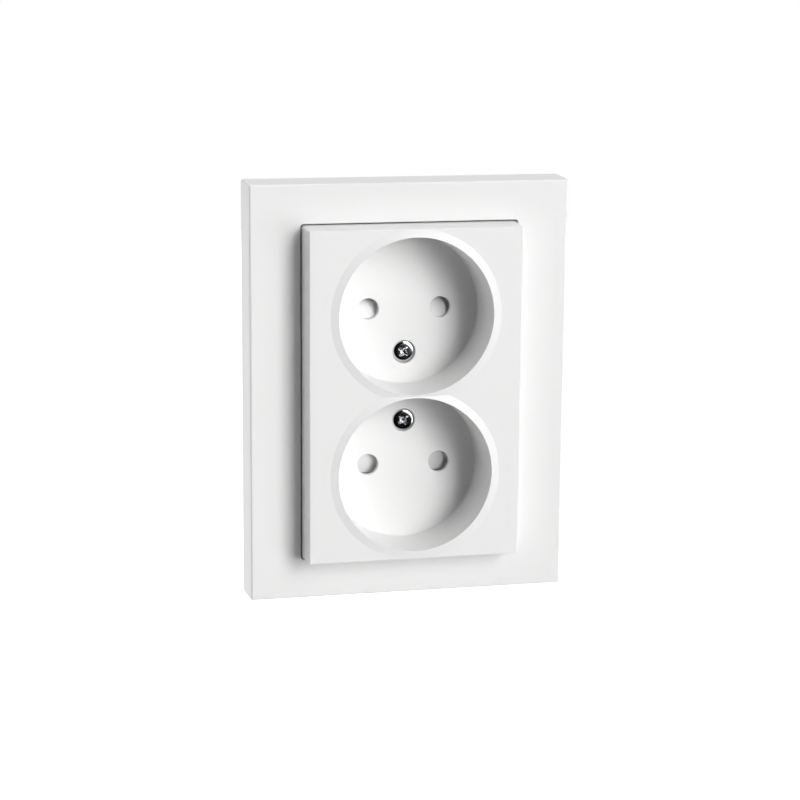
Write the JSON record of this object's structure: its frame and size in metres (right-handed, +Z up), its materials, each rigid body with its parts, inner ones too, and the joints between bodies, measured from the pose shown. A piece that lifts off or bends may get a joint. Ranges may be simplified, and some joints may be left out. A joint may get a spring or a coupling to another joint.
{
  "type": "double wall socket",
  "caption": "Flush double wall socket with round plug cups, shuttered pin holes, a square-cornered cover frame and a contact insert for a wall box.",
  "frame": {"origin": "centre of the wall screws, on the wall plane behind the cover", "axes": "+X right as seen from the room, +Y into the wall, +Z up"},
  "size_m": [0.0836, 0.0434, 0.1082],
  "materials": {
    "white_cover": "moulded thermoplastic, satin gloss, white",
    "shutter_white": "moulded thermoplastic, matt, white",
    "retainer_plastic": "moulded thermoplastic, matt, grey",
    "insert_plastic": "moulded polyamide, matt, light grey",
    "button_plastic": "moulded thermoplastic, matt, orange",
    "screw_chrome": "bright plated steel",
    "zinc_sheet": "zinc-plated pressed sheet",
    "spring_steel": "drawn stainless spring wire and strip",
    "rivet_steel": "zinc-plated, rolled over",
    "contact_brass": "stamped and turned brass"
  },
  "bodies": {
    "socket": {"cover_frame": "white_cover", "centre_plate": "white_cover", "cover_screws": "screw_chrome", "upper_shutter_spring": "spring_steel", "lower_shutter_spring": "spring_steel", "upper_shutter_retainer": "retainer_plastic", "lower_shutter_retainer": "retainer_plastic", "support_frame": "zinc_sheet", "insert_cover": "insert_plastic", "insert_housing": "insert_plastic", "live_busbar": "contact_brass", "neutral_busbar": "contact_brass", "threaded_inserts": "contact_brass", "live_upper_clamp_spring": "spring_steel", "live_lower_clamp_spring": "spring_steel", "neutral_upper_clamp_spring": "spring_steel", "neutral_lower_clamp_spring": "spring_steel", "rivets": "rivet_steel"},
    "upper_shutter": {"upper_shutter": "shutter_white"},
    "lower_shutter": {"lower_shutter": "shutter_white"},
    "live_release_button": {"live_release_button": "button_plastic"},
    "neutral_release_button": {"neutral_release_button": "button_plastic"}
  },
  "joints": [
    {"name": "upper_shutter_slide", "type": "slide", "parent": "socket", "child": "upper_shutter", "axis": [0, 0, -1], "range_m": [0, 0.0056], "stiffness_N_per_m": 90, "springref_m": -0.005, "deforming": ["upper_shutter_spring"]},
    {"name": "lower_shutter_slide", "type": "slide", "parent": "socket", "child": "lower_shutter", "axis": [0, 0, 1], "range_m": [0, 0.0056], "stiffness_N_per_m": 90, "springref_m": -0.005, "deforming": ["lower_shutter_spring"]},
    {"name": "live_release_slide", "type": "slide", "parent": "socket", "child": "live_release_button", "axis": [0, -1, 0], "range_m": [0, 0.0018], "stiffness_N_per_m": 1500, "springref_m": -0.0005, "deforming": ["live_upper_clamp_spring", "live_lower_clamp_spring"]},
    {"name": "neutral_release_slide", "type": "slide", "parent": "socket", "child": "neutral_release_button", "axis": [0, -1, 0], "range_m": [0, 0.0018], "stiffness_N_per_m": 1500, "springref_m": -0.0005, "deforming": ["neutral_upper_clamp_spring", "neutral_lower_clamp_spring"]}
  ]
}
